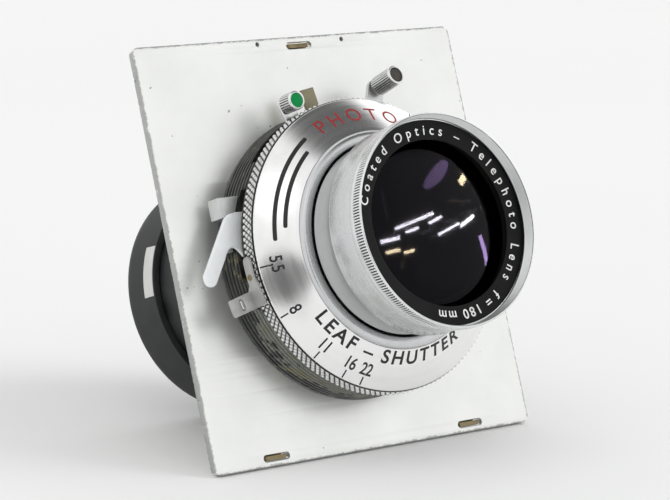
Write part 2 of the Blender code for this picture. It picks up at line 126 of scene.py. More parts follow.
def eased(profile, radius=0.15, closed=True, steps=3):
    """The profile with a small round at each corner. A point's third value goes to its round too."""
    made = []
    last = len(profile) - 1
    for i, point in enumerate(profile):
        if not closed and i in (0, last):
            made.append(point)
            continue
        here = Vector(point[:2])
        back = Vector(profile[i - 1][:2]) - here
        ahead = Vector(profile[(i + 1) % len(profile)][:2]) - here
        if back.angle(ahead) > math.radians(155):
            made.append(point)
            continue
        cut = min(radius, 0.4 * back.length, 0.4 * ahead.length)
        start, end = here + back.normalized() * cut, here + ahead.normalized() * cut
        for step in range(steps + 1):
            t = step / steps
            spot = start * (1 - t) ** 2 + here * 2 * t * (1 - t) + end * t**2
            made.append((spot.x, spot.y, *point[2:]))
    return made


def turned(profile, sides=180, closed=True, wave=None):
    """A mesh turned about Z from (radius, z) points. wave(i, j) is added to point i's radius at step j.
    A point's third value, if any, is the material index of the band that follows it."""
    shape = bmesh.new()
    rows = []
    for i, point in enumerate(profile):
        if point[0] < 1e-6:
            rows.append([shape.verts.new((0.0, 0.0, point[1] * MM))])
            continue
        row = []
        for j in range(sides):
            x, y = polar(point[0] + (wave(i, j) if wave else 0.0), 360.0 * j / sides)
            row.append(shape.verts.new((x * MM, y * MM, point[1] * MM)))
        rows.append(row)
    count = len(rows)
    for i in range(count if closed else count - 1):
        first, second = rows[i], rows[(i + 1) % count]
        if len(first) == 1 and len(second) == 1:
            continue
        band = profile[i][2] if len(profile[i]) > 2 else 0
        for j in range(sides):
            k = (j + 1) % sides
            corners = [first[n % len(first)] for n in (j, k)] + [second[n % len(second)] for n in (k, j)]
            face = shape.faces.new(dict.fromkeys(corners))
            face.material_index = band
    return tidy(shape)


def swept(rings):
    """A closed mesh through rings of (x, y, z) points, with a flat face on the first and on the last."""
    shape = bmesh.new()
    grid = [[shape.verts.new([value * MM for value in point]) for point in ring] for ring in rings]
    for first, second in zip(grid, grid[1:]):
        for a in range(len(first)):
            b = (a + 1) % len(first)
            shape.faces.new((first[a], first[b], second[b], second[a]))
    shape.faces.new(grid[0])
    shape.faces.new(grid[-1])
    return tidy(shape)


def evaluated(obj):
    """The object's mesh as its modifiers leave it. The object itself is removed."""
    bpy.context.view_layer.update()
    mesh = bpy.data.meshes.new_from_object(obj.evaluated_get(bpy.context.evaluated_depsgraph_get()))
    bpy.data.objects.remove(obj)
    return mesh


def shown(data):
    obj = bpy.data.objects.new("working", data)
    bpy.context.scene.collection.objects.link(obj)
    return obj


def plate(loops, low, high, ease=0.12, rounds=1):
    """A flat piece with eased edges: an outline with any further loops as its holes."""
    curve = bpy.data.curves.new("outline", "CURVE")
    curve.dimensions = "2D"
    curve.fill_mode = "BOTH"
    curve.extrude = ((high - low) / 2 - ease) * MM
    curve.bevel_depth = ease * MM
    curve.bevel_resolution = rounds
    curve.offset = -ease * MM
    for loop in loops:
        spline = curve.splines.new("POLY")
        spline.points.add(len(loop) - 1)
        for point, (x, y) in zip(spline.points, loop):
            point.co = (x * MM, y * MM, 0.0, 1.0)
        spline.use_cyclic_u = True
    mesh = evaluated(shown(curve))
    mesh.transform(Matrix.Translation((0.0, 0.0, (low + high) / 2 * MM)))
    shape = bmesh.new()
    shape.from_mesh(mesh)
    return tidy(shape, mesh)


def block(low, high, ease=0.2, rounds=3):
    """A box from one corner to the other, with rounded edges."""
    shape = bmesh.new()
    bmesh.ops.create_cube(shape, size=1.0)
    bmesh.ops.scale(shape, vec=[(b - a) * MM for a, b in zip(low, high)], verts=shape.verts)
    edges = list(shape.edges) + list(shape.verts)
    bmesh.ops.bevel(shape, geom=edges, offset=ease * MM, segments=rounds, profile=0.5, affect="EDGES")
    bmesh.ops.translate(shape, vec=[(a + b) / 2 * MM for a, b in zip(low, high)], verts=shape.verts)
    return tidy(shape)


def combined(mesh, operation, *others):
    """The mesh with each other mesh cut from it or joined to it."""
    obj = shown(mesh)
    tools = []
    for other in others:
        tool = shown(other)
        boolean = obj.modifiers.new("Combine", "BOOLEAN")
        boolean.operation = operation
        boolean.object = tool
        tools.append(tool)
    made = evaluated(obj)
    for tool in tools:
        bpy.data.objects.remove(tool)
    return made


def joined(*meshes):
    shape = bmesh.new()
    for mesh in meshes:
        shape.from_mesh(mesh)
    made = bpy.data.meshes.new("joined")
    shape.to_mesh(made)
    shape.free()
    return made


def moved(mesh, place):
    mesh.transform(place)
    return mesh


def piece(name, mesh, looks, body, replaced, place=None, crease=30.0):
    """Puts a mesh in the scene as a named piece that rides on a body and stands in for the replaced nodes."""
    mesh.name = name
    for finish in looks if isinstance(looks, (list, tuple)) else [looks]:
        mesh.materials.append(finish)
    mesh.shade_smooth()
    mesh.set_sharp_from_angle(angle=math.radians(crease))
    obj = bpy.data.objects.new(name, mesh)
    bpy.context.scene.collection.objects.link(obj)
    obj.matrix_world = OPTICAL @ place if place else OPTICAL
    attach(obj, body)
    if replaced:
        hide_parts(*replaced)
    return obj


def teeth(step, count, sides, depth):
    """A flat-topped tooth: 0 on the tooth and -depth in the gap, for a ring of that many sides."""
    share = (step * count / sides) % 1.0
    return 0.0 if share < 0.6 else -depth


def stand(x, y, z, tilt=0.0, toward=0.0):
    """A place in the optical frame, its Z leaning by tilt toward that angle."""
    lean = Matrix.Rotation(math.radians(toward), 4, "Z") @ Matrix.Rotation(math.radians(tilt), 4, "Y")
    return Matrix.Translation((x * MM, y * MM, z * MM)) @ lean


# ---------------------------------------------------------------- looks


def node(tree, kind, inputs=None, **settings):
    made = tree.nodes.new("ShaderNode" + kind)
    for key, value in settings.items():
        setattr(made, key, value)
    for key, value in (inputs or {}).items():
        if isinstance(value, bpy.types.NodeSocket):
            tree.links.new(value, made.inputs[key])
        else:
            made.inputs[key].default_value = value
    return made


def calc(tree, operation, a, b=0.0, clamp=False):
    return node(tree, "Math", {0: a, 1: b}, operation=operation, use_clamp=clamp).outputs[0]


def spread(tree, value, low, high, to_low=0.0, to_high=1.0):
    """The value from low to high mapped onto to_low to to_high, smoothly and kept within them."""
    inputs = {"Value": value, "From Min": low, "From Max": high, "To Min": to_low, "To Max": to_high}
    return node(tree, "MapRange", inputs, interpolation_type="SMOOTHSTEP").outputs[0]


def blend(tree, share, a, b):
    made = node(tree, "Mix", {0: share}, data_type="RGBA")
    for socket, value in ((made.inputs[6], a), (made.inputs[7], b)):
        if isinstance(value, bpy.types.NodeSocket):
            tree.links.new(value, socket)
        else:
            socket.default_value = (*value, 1.0)
    return made.outputs[2]


def here(tree):
    return node(tree, "TexCoord").outputs["Object"]


def noise(tree, vector, scale, detail=3.0, roughness=0.55):
    inputs = {"Vector": vector, "Scale": scale, "Detail": detail, "Roughness": roughness}
    return node(tree, "TexNoise", inputs).outputs[0]


def parts_of(tree, vector):
    return node(tree, "SeparateXYZ", {0: vector}).outputs


def radius_of(tree):
    x, y, _ = parts_of(tree, here(tree))
    return calc(tree, "SQRT", calc(tree, "ADD", calc(tree, "MULTIPLY", x, x), calc(tree, "MULTIPLY", y, y)))


def ringed(tree, round_scale, fine_scale):
    """Coordinates in which a noise runs in fine rings about the Z axis."""
    x, y, z = parts_of(tree, here(tree))
    radius = radius_of(tree)
    safe = calc(tree, "MAXIMUM", radius, 1e-6)
    along = calc(tree, "MULTIPLY", calc(tree, "ADD", radius, z), fine_scale)
    cosine = calc(tree, "MULTIPLY", calc(tree, "DIVIDE", x, safe), round_scale)
    sine = calc(tree, "MULTIPLY", calc(tree, "DIVIDE", y, safe), round_scale)
    return node(tree, "CombineXYZ", {0: cosine, 1: sine, 2: along}).outputs[0]


def look(name):
    made = bpy.data.materials.new(name)
    made.use_nodes = True
    return made, made.node_tree, made.node_tree.nodes["Principled BSDF"]


def wire(tree, shader, **sockets):
    """Sets or links the shader's inputs. An underscore stands for a space."""
    for key, value in sockets.items():
        socket = shader.inputs[key.replace("_", " ")]
        if isinstance(value, bpy.types.NodeSocket):
            tree.links.new(value, socket)
        elif isinstance(value, tuple):
            socket.default_value = (*value, 1.0)
        else:
            socket.default_value = value


def bumped(tree, height, strength, distance=0.0002):
    return node(tree, "Bump", {"Height": height, "Strength": strength, "Distance": distance}).outputs[0]


def metal(name, bright, dirt_and_shade_colour, roughness, spin=False, grain=0.08, grime=0.35, metallic=1.0, root=None):
    """A machined metal. spin gives it the fine rings that a lathe leaves, and grime how dirty it gets in
    patches.
    root, for a knurl, is the radius up to which its gaps get painted shade and the radius at which they have
    none."""
    made, tree, shader = look(name)
    if spin:
        fine = noise(tree, ringed(tree, 1.5, 7000.0), 1.0, 2.0)
        wide = noise(tree, ringed(tree, 1.0, 1600.0), 1.0, 2.0)
        grain *= 0.3
    else:
        fine = noise(tree, here(tree), 4200.0, 2.0)
        wide = noise(tree, here(tree), 500.0, 3.0)
    patches = spread(tree, noise(tree, here(tree), 160.0, 5.0, 0.65), 0.45, 0.75)
    specks = spread(tree, noise(tree, here(tree), 1400.0, 2.0), 0.66, 0.72)
    dirt_and_gap_shade = calc(tree, "MULTIPLY", calc(tree, "MAXIMUM", patches, specks), grime, True)
    colour = blend(tree, spread(tree, wide, 0.3, 0.7), tuple(0.96 * c for c in bright), bright)
    # painted shade: a knurl's gaps, below root's first radius, are darkened nearly to the darker colour
    if root:
        gap = spread(tree, radius_of(tree), root[0] * MM, root[1] * MM, 1.0, 0.0)
        dirt_and_gap_shade = calc(tree, "MAXIMUM", dirt_and_gap_shade, calc(tree, "MULTIPLY", gap, 0.93))
    colour = blend(tree, dirt_and_gap_shade, colour, dirt_and_shade_colour)
    rough = spread(tree, wide, 0.3, 0.7, roughness - 0.02, roughness + 0.02)
    rough = calc(tree, "ADD", rough, calc(tree, "MULTIPLY", dirt_and_gap_shade, 0.2), True)
    normal = bumped(tree, fine, grain)
    wire(tree, shader, Base_Color=colour, Metallic=metallic, Roughness=rough, Normal=normal)
    if spin:
        wire(tree, shader, Anisotropic=0.5)
        tangent = node(tree, "Tangent", direction_type="RADIAL", axis="Z").outputs[0]
        wire(tree, shader, Tangent=tangent)
    return made


def paint(name, colour, other, roughness, scale=900.0, grain=0.15, metallic=0.0, shine=0.5):
    """A coated or moulded surface, with a fine uneven texture."""
    made, tree, shader = look(name)
    wide = noise(tree, here(tree), scale / 8, 4.0)
    fine = noise(tree, here(tree), scale * 3, 3.0)
    rough = spread(tree, wide, 0.3, 0.7, roughness - 0.06, roughness + 0.08)
    shade = blend(tree, spread(tree, wide, 0.35, 0.7), colour, other)
    wire(tree, shader, Base_Color=shade, Metallic=metallic, Roughness=rough, Normal=bumped(tree, fine, grain))
    wire(tree, shader, Specular_IOR_Level=shine)
    return made


def board_look():
    """Satin metal with a faint grain, small dark specks, fine scratches and edges worn grey."""
    made, tree, shader = look("board_satin")
    x, y, _ = parts_of(tree, here(tree))
    grain = noise(tree, here(tree), 2600.0, 3.0)
    cloud = noise(tree, here(tree), 45.0, 4.0, 0.6)
    colour = blend(tree, spread(tree, cloud, 0.3, 0.7), (0.86, 0.87, 0.845), (0.91, 0.92, 0.90))
    lengthwise = {0: here(tree), 1: (26.0, 900.0, 1.0)}
    stretched = node(tree, "VectorMath", lengthwise, operation="MULTIPLY").outputs[0]
    scratch = spread(tree, noise(tree, stretched, 1.0, 1.0), 0.72, 0.76)
    colour = blend(tree, calc(tree, "MULTIPLY", scratch, 0.25), colour, (0.9, 0.9, 0.89))
    specks = spread(tree, noise(tree, here(tree), 520.0, 1.0), 0.755, 0.79)
    colour = blend(tree, calc(tree, "MULTIPLY", specks, 0.7), colour, (0.16, 0.15, 0.13))
    middle_y = (BOARD_TOP + BOARD_BOTTOM) / 2 * MM
    half_y = (BOARD_TOP - BOARD_BOTTOM) / 2 * MM
    from_side = calc(tree, "SUBTRACT", BOARD_SIDE * MM, calc(tree, "ABSOLUTE", x))
    from_end = calc(tree, "SUBTRACT", half_y, calc(tree, "ABSOLUTE", calc(tree, "SUBTRACT", y, middle_y)))
    edge = calc(tree, "MINIMUM", from_side, from_end)
    ragged = calc(tree, "MULTIPLY", noise(tree, here(tree), 380.0, 4.0, 0.7), 0.0016)
    worn = spread(tree, calc(tree, "SUBTRACT", edge, ragged), -0.0007, -0.0002, 1.0, 0.0)
    colour = blend(tree, calc(tree, "MULTIPLY", worn, 0.75), colour, (0.26, 0.27, 0.26))
    rough = spread(tree, cloud, 0.3, 0.7, 0.36, 0.30)
    rough = calc(tree, "SUBTRACT", rough, calc(tree, "MULTIPLY", worn, 0.12), True)
    normal = bumped(tree, calc(tree, "ADD", grain, calc(tree, "MULTIPLY", scratch, 0.6)), 0.12)
    wire(tree, shader, Base_Color=colour, Metallic=0.8, Roughness=rough, Normal=normal)
    return made


def worn_case_look():
    """Black lacquer on the case, flaked to grey and brassy metal at the lower left and toward the front."""
    made, tree, shader = look("case_lacquer_worn")
    x, y, z = parts_of(tree, here(tree))
    radius = calc(tree, "MAXIMUM", radius_of(tree), 1e-6)
    direction = polar(1.0, -131.0)
    across = calc(tree, "MULTIPLY", calc(tree, "DIVIDE", x, radius), direction[0])
    along = calc(tree, "MULTIPLY", calc(tree, "DIVIDE", y, radius), direction[1])
    toward = calc(tree, "ADD", across, along)
    flakes = noise(tree, here(tree), 210.0, 7.0, 0.7)
    front = spread(tree, z, 0.0, 0.0105)
    wear = calc(tree, "ADD", calc(tree, "MULTIPLY", front, 0.22), 0.03)
    wear = calc(tree, "MULTIPLY", spread(tree, toward, 0.74, 0.92), wear)
    bare = spread(tree, calc(tree, "ADD", flakes, wear), 0.60, 0.635)
    warm = spread(tree, noise(tree, here(tree), 210.0, 4.0), 0.5, 0.68)
    metal_colour = blend(tree, warm, (0.19, 0.195, 0.175), (0.19, 0.175, 0.11))
    cloud = spread(tree, noise(tree, here(tree), 240.0), 0.3, 0.7)
    lacquer = blend(tree, cloud, (0.014, 0.015, 0.014), (0.04, 0.042, 0.038))
    height = calc(tree, "SUBTRACT", calc(tree, "MULTIPLY", flakes, 0.4), bare)
    rough = spread(tree, bare, 0.0, 1.0, 0.34, 0.55)
    wire(tree, shader, Base_Color=blend(tree, bare, lacquer, metal_colour), Roughness=rough)
    wire(tree, shader, Metallic=calc(tree, "MULTIPLY", bare, 0.3), Normal=bumped(tree, height, 0.5, 0.00006))
    return made


def glass_look(name, tint, specular, ior):
    """A coated element. tint is the light it lets through, and specular the colour of its reflections."""
    made, tree, shader = look(name)
    haze = noise(tree, here(tree), 260.0, 4.0)
    dust = spread(tree, noise(tree, here(tree), 2300.0, 1.0), 0.76, 0.8)
    rough = spread(tree, haze, 0.4, 0.8, 0.045, 0.06)
    rough = calc(tree, "ADD", rough, calc(tree, "MULTIPLY", dust, 0.06), True)
    wire(tree, shader, Base_Color=blend(tree, dust, tint, tuple(0.8 * c for c in tint)), Roughness=rough)
    wire(tree, shader, Transmission_Weight=1.0, IOR=ior, Specular_Tint=specular)
    return made


BOARD = board_look()
CASE_BLACK = worn_case_look()
SATIN = metal(
    "satin_chrome_turned", (0.66, 0.67, 0.675), (0.38, 0.38, 0.36), 0.27, spin=True, grime=0.16
)
# A darker copy of the satin chrome: painted shade on the neck, which faces back toward the board.
SHADED_NECK = metal("neck_chrome_painted_shade", (0.44, 0.45, 0.45), (0.2, 0.2, 0.19), 0.3, spin=True, grime=0.2)
THREAD = metal("thread_chrome", (0.62, 0.63, 0.63), (0.3, 0.3, 0.3), 0.3, spin=True, grime=0.2)
BRUSHED = metal(
    "brushed_face", (0.92, 0.92, 0.915), (0.5, 0.5, 0.48), 0.16, spin=True, grain=0.1, grime=0.1
)
# root darkens this knurl's gaps: painted shade
RIM_METAL = metal(
    "rim_chrome", (0.80, 0.81, 0.80), (0.045, 0.045, 0.035), 0.24, grime=0.3, root=(35.5, 35.8)
)
BRIGHT = metal("bright_chrome", (0.84, 0.85, 0.855), (0.5, 0.5, 0.5), 0.2, grime=0.15)
# root darkens these teeth's gaps: painted shade
FRONT_TEETH = metal(
    "front_rim_teeth", (0.88, 0.89, 0.895), (0.10, 0.10, 0.10), 0.25, grime=0.1, root=(25.2, 25.45)
)
FRONT_RIM = metal("front_rim_chrome", (0.82, 0.83, 0.835), (0.4, 0.4, 0.4), 0.2, spin=True, grime=0.15)
LEVER_WHITE = metal("lever_satin", (0.90, 0.925, 0.94), (0.7, 0.7, 0.7), 0.38, grime=0.1, metallic=0.1)
NICKEL = metal("dull_nickel", (0.50, 0.505, 0.49), (0.26, 0.25, 0.22), 0.44, grime=0.4, metallic=0.6)
SOCKET = metal("socket_nickel", (0.72, 0.73, 0.73), (0.4, 0.4, 0.38), 0.36, grime=0.3, metallic=0.7)
# root darkens the grips' rib gaps: painted shade
KNURL = metal(
    "knurl_nickel", (0.86, 0.86, 0.85), (0.13, 0.13, 0.12), 0.34, grime=0.25, metallic=0.8, root=(2.12, 2.3)
)
BRASS = metal("tarnished_brass", (0.27, 0.25, 0.165), (0.12, 0.105, 0.06), 0.42, grime=0.6, metallic=0.7)
GOLD_BROWN = metal(
    "slot_brass", (0.30, 0.24, 0.13), (0.07, 0.05, 0.03), 0.5, grain=0.6, grime=0.8, metallic=0.6
)
STEEL = metal("ground_steel", (0.50, 0.51, 0.52), (0.2, 0.2, 0.2), 0.34, grime=0.3)
DARK = metal("oxidised_steel", (0.12, 0.12, 0.12), (0.05, 0.05, 0.05), 0.42, grime=0.3)
LEAF = metal("blackened_leaf", (0.055, 0.057, 0.06), (0.03, 0.03, 0.03), 0.42, grime=0.3, metallic=0.8)
BLACK = paint("black_anodised", (0.018, 0.019, 0.020), (0.034, 0.035, 0.037), 0.5, 1200.0, 0.12)
MATT_BLACK = paint(
    "matt_black_inside", (0.004, 0.004, 0.004), (0.007, 0.007, 0.007), 0.75, 1200.0, 0.1, shine=0.2
)
TRIM_BLACK = paint(
    "trim_black", (0.004, 0.004, 0.0045), (0.007, 0.007, 0.0075), 0.3, 1500.0, 0.05, shine=0.14
)
INK = paint("engraving_black", (0.007, 0.007, 0.007), (0.02, 0.02, 0.02), 0.55, 1500.0)
RED = paint("engraving_red", (0.33, 0.015, 0.015), (0.24, 0.012, 0.012), 0.5, 1500.0)
WHITE = paint("engraving_white", (0.82, 0.83, 0.82), (0.7, 0.7, 0.68), 0.5, 1500.0)
GREEN = paint("green_enamel", (0.0, 0.23, 0.055), (0.0, 0.17, 0.04), 0.4, 900.0, 0.05, shine=0.15)
INSERT = paint("dark_insert", (0.05, 0.048, 0.04), (0.10, 0.095, 0.08), 0.75, 1200.0, 0.9)
PAPER = paint("label_paper", (0.74, 0.74, 0.72), (0.62, 0.62, 0.60), 0.8, 500.0, 0.3)
# The near-black tint is painted shade: it darkens clear glass to the dark look of the lens inside.
FRONT_GLASS = glass_look("front_glass_coated", (0.02, 0.02, 0.021), (0.9, 0.86, 1.0), 1.2)
INNER_GLASS = glass_look("inner_glass_coated", (0.20, 0.18, 0.22), (0.85, 0.7, 1.0), 1.13)


# ---------------------------------------------------------------- board and case


def board():
    """The plate with its slots and its nicked edges, and the ring that locks the shutter to it."""
    corner = 1.8
    worn_edge = 1  # the left one, counting round from the top one at 0
    left, right, low, high = -BOARD_SIDE, BOARD_SIDE, BOARD_BOTTOM, BOARD_TOP
    corners = (
        (right - corner, high - corner, 0),
        (left + corner, high - corner, 90),
        (left + corner, low + corner, 180),
        (right - corner, low + corner, 270),
    )
    outline = []
    for i, (x, y, start) in enumerate(corners):
        outline += arc(corner, start, start + 90, 6, (x, y))
        follow = corners[(i + 1) % 4]
        first, second = polar(corner, start + 90, (x, y)), polar(corner, follow[2], follow[:2])
        inward = polar(1.0, start + 270)
        steps = 240
        chance = 0.12 if i == worn_edge else 0.03
        for step in range(1, steps):
            share = step / steps
            nick = random.uniform(0.0, 0.015)
            if random.random() < chance:
                nick = random.uniform(0.05, 0.16)
            outline.append(
                (
                    first[0] + (second[0] - first[0]) * share + inward[0] * nick,
                    first[1] + (second[1] - first[1]) * share + inward[1] * nick,
                )
            )
    holes = [slot_outline(centre, 7.6, 1.7) for centre in SLOTS]
    holes.append(arc(20.8, 0, 356, 89))
    holes += [arc(0.55, 0, 330, 11, centre) for centre in PUNCH_MARKS]
    mesh = plate([outline, *holes], -BOARD_THICK, 0.0, 0.16)
    piece("board_plate", mesh, BOARD, CASE, ["lens_board"])
    cup = [(0.0, -1.2), (0.5, -1.0), (0.5, -1.6), (0.0, -1.6)]
    cups = [moved(turned(cup, 16, False), stand(x, y, 0.0)) for x, y in PUNCH_MARKS]
    piece("board_punch_marks", joined(*cups), DARK, CASE, [])
    notch = [(20.3, -2.1), (24.5, -2.1), (24.5, -4.4), (20.3, -4.4)]
    rounds = eased(notch, 0.2)
    spanner = turned(rounds, 144, True, lambda i, j: -0.8 if j % 36 < 4 and rounds[i][0] > 22 else 0.0)
    piece("board_lock_ring", spanner, DARK, CASE, ["board_retaining_ring"])


def case():
    """The shutter's case: ribbed outside, with windows for its levers and a tube through the board."""
    inside = 33.6
    wall = [(inside, 10.4), (CASE_RADIUS, 10.4)]
    groove, pitch, root = 0.55, 1.32, CASE_RADIUS - 0.42
    level = 9.7
    while level > 1.6:
        wall += [(CASE_RADIUS, level), (root, level - 0.1)]
        wall += [(root, level - groove), (CASE_RADIUS, level - groove - 0.1)]
        level -= pitch
    wall += [(CASE_RADIUS, 0.3), (20.0, 0.3), (20.0, -5.0), (17.4, -5.0, 1), (17.4, 1.5, 1), (inside, 1.5, 1)]
    windows = []
    for start, end, low, high in ((150, 187, 7.4, 9.2), (91, 138, 7.4, 9.2), (8, 74, 5.5, 7.3)):
        windows.append(plate([sector(30.0, 38.0, start, end, 24)], low, high, 0.05))
    mesh = combined(turned(eased(wall, 0.1, True, 1), 180), "DIFFERENCE", *windows)
    piece("shutter_case", mesh, [CASE_BLACK, MATT_BLACK], CASE, ["shutter_housing"])


def diamond(first, last, count, sides, depth, turns):
    """Radius offsets of a diamond knurl on profile points first to last: two sets of V grooves that cross."""

    def wave(i, j):
        if not first <= i <= last:
            return 0.0
        share = j * count / sides
        slant = turns * (i - first) / (last - first)
        near = min(abs((share + way * slant) % 1.0 - 0.5) for way in (1, -1))
        return -depth * max(0.0, 1.0 - near / 0.3)

    return wave


def rim():
    """The knurled speed ring, and the disc under it that opens the iris."""
    rows, top, low = 13, 14.45, 11.55
    band = [(RIM_RADIUS, top - (top - low) * i / (rows - 1)) for i in range(rows)]
    profile = [(31.5, 14.5), (35.45, 14.5), (35.6, 14.48), *band, (35.6, 11.52), (35.2, 11.5), (31.5, 11.5)]
    sides, count = 1350, 150
    mesh = turned(profile, sides, True, diamond(3, rows + 2, count, sides, 0.55, 1.5))
    piece("speed_rim", mesh, RIM_METAL, "speed_ring", ["speed_ring"], crease=50.0)
    disc = turned(eased([(15.5, 11.2), (35.0, 11.2), (35.0, 10.7), (15.5, 10.7)], 0.1, True, 1), 144)
    piece("iris_cam_ring", disc, STEEL, "aperture_control", ["aperture_ring"])


def face_z(radius):
    """The conical face's height at a radius."""
    share = (FACE_EDGE[0] - radius) / (FACE_EDGE[0] - FACE_INNER[0])
    return FACE_EDGE[1] + share * (FACE_INNER[1] - FACE_EDGE[1])


def face():
    """The brushed conical face and the collar inside it."""
    inner = (26.42, face_z(26.42))
    profile = eased([inner, FACE_EDGE, (35.4, 14.8), (31.0, 14.8), (26.42, 17.0)], 0.12)
    piece("scale_face", turned(profile, 256), BRUSHED, CASE, ["face_plate"])
    lip = [
        (23.8, 22.0),
        (24.6, 22.0),
        (25.4, 21.9),
        (26.0, 21.6),
        (26.3, 21.2),
        (26.4, 20.7),
        (26.4, 16.5),
        (20.4, 16.5),
        (20.4, 18.0),
        (22.6, 18.0),
        (23.0, 19.2),
        (23.5, 21.6),
    ]
    piece("face_lip", turned(eased(lip, 0.2), 256), SATIN, CASE, ["face_collar"])


# ---------------------------------------------------------------- engraving

PROUD = 0.05  # how far an engraving's fill stands over its surface, and how thick it is


def letters(text, height, spacing=1.0, width=1.0, bold=0.0):
    """A line of text as a thin closed mesh about its middle, its capitals of that height.
    bold, in mm, is how far each stroke is widened on either side."""
    curve = bpy.data.curves.new("letters", "FONT")
    curve.body = text
    curve.size = height / 0.72 * MM
    curve.space_character = spacing
    curve.align_x = "CENTER"
    curve.align_y = "CENTER"
    curve.extrude = PROUD / 2 * MM
    curve.offset = bold * MM
    mesh = evaluated(shown(curve))
    mesh.transform(Matrix.Diagonal((width, 1.0, 1.0, 1.0)))
    return mesh


def laid(mesh, surface_z):
    """The flat mesh laid on a turned surface whose height at a radius, in mm, surface_z gives."""
    for vertex in mesh.vertices:
        radius = math.hypot(vertex.co.x, vertex.co.y) / MM
        vertex.co.z += (surface_z(radius) + PROUD / 2) * MM
    return mesh


def bent(mesh, radius, middle, outward):
    """Bends a line of text onto a circle. outward puts its tops outward, reading clockwise."""
    side = 1.0 if outward else -1.0
    for vertex in mesh.vertices:
        x, y = polar(
            radius + side * vertex.co.y / MM,
            middle - side * math.degrees(vertex.co.x / MM / radius),
        )
        vertex.co.x, vertex.co.y = x * MM, y * MM
    return mesh


def stroke(inner, outer, angle, width=0.3):
    """A straight mark along a radius."""
    along, across = polar(1.0, angle), polar(1.0, angle + 90)
    corners = ((inner, -width / 2), (outer, -width / 2), (outer, width / 2), (inner, width / 2))
    outline = [(r * along[0] + s * across[0], r * along[1] + s * across[1]) for r, s in corners]
    return flat([outline])


def flat(loops):
    return plate(loops, -PROUD / 2, PROUD / 2, 0.0, 0)


def groove_outline(radius, width, start, end):
    """A round-ended arc."""
    steps = 40
    cap = math.degrees(width / 2 / radius)
    outer, inner = radius + width / 2, radius - width / 2
    first = arc(width / 2, start + 180, start + 360, 8, polar(radius, start + cap))
    last = arc(width / 2, end, end + 180, 8, polar(radius, end - cap))
    between = arc(outer, start + cap, end - cap, steps)[1:-1]
    back = arc(inner, end - cap, start + cap, steps)[1:-1]
    return first + between + last + back


def engraving():
    """The aperture scale, the speeds, the arcs and the words on the face, and the words on the trim ring."""
    scale = []
    for text, angle in (("5,5", -176.5), ("8", -156.0), ("11", -135.5), ("16", -121.2), ("22", -112.7)):
        scale.append(stroke(33.5, 35.25, angle, 0.36))
        scale.append(bent(letters(text, 2.6, 0.95, 0.95, 0.055), 31.95, angle, False))
    speeds = ("B", "1", "2", "5", "10", "25", "50", "100", "200", "500")
    for i, text in enumerate(speeds):
        angle = -39.0 + 11.0 * i
        scale.append(stroke(34.2, 35.2, angle))
        scale.append(bent(letters(text, 2.1, 0.92, 0.9), 32.4, angle, False))
    for radius, start, end in ((31.3, 122.0, 174.0), (29.15, 127.5, 168.5)):
        scale.append(flat([groove_outline(radius, 0.85, start, end)]))
    scale.append(bent(letters("LEAF – SHUTTER", 2.9, 1.26, 1.22, 0.085), 28.45, -103.5, False))
    marks = joined(*(laid(mesh, face_z) for mesh in scale))
    piece("face_engraving_black", marks, INK, CASE, [])
    red = laid(bent(letters("PHOTO", 3.4, 1.55, 1.15, 0.0), 30.9, 91.5, True), face_z)
    piece("face_engraving_red", red, RED, CASE, [])

    def trim_z(radius):
        return 39.9 + (radius - TRIM_RADIUS) / 4.6 * 0.5

    height, middle = 2.3, 21.8
    ring = [
        bent(letters("Coated Optics – Telephoto Lens", height, 1.79, 1.0, 0.02), middle, 60.0, True),
        bent(letters("f = 180 mm", height, 1.3, 1.0, 0.03), middle, -81.0, True),
    ]
    white = joined(*(laid(mesh, trim_z) for mesh in ring))
    piece("trim_ring_engraving", white, WHITE, CASE, [])


# ---------------------------------------------------------------- front and rear cells


def dome(radius, edge_z, rise, side, steps=24):
    """A glass surface's profile: outward from the axis for side 1, inward to it for side -1."""
    points = [(radius * i / steps, edge_z + rise * (1 - (i / steps) ** 2)) for i in range(steps + 1)]
    return points if side > 0 else points[::-1]


def element(front, back):
    """A lens element from the radius, edge height and rise of its two surfaces, with a blackened edge."""
    edge = [(front[0], front[1], 1), (front[0], back[1], 1)]
    return turned(dome(*front, 1)[:-1] + edge + dome(*back, -1), 192, False)


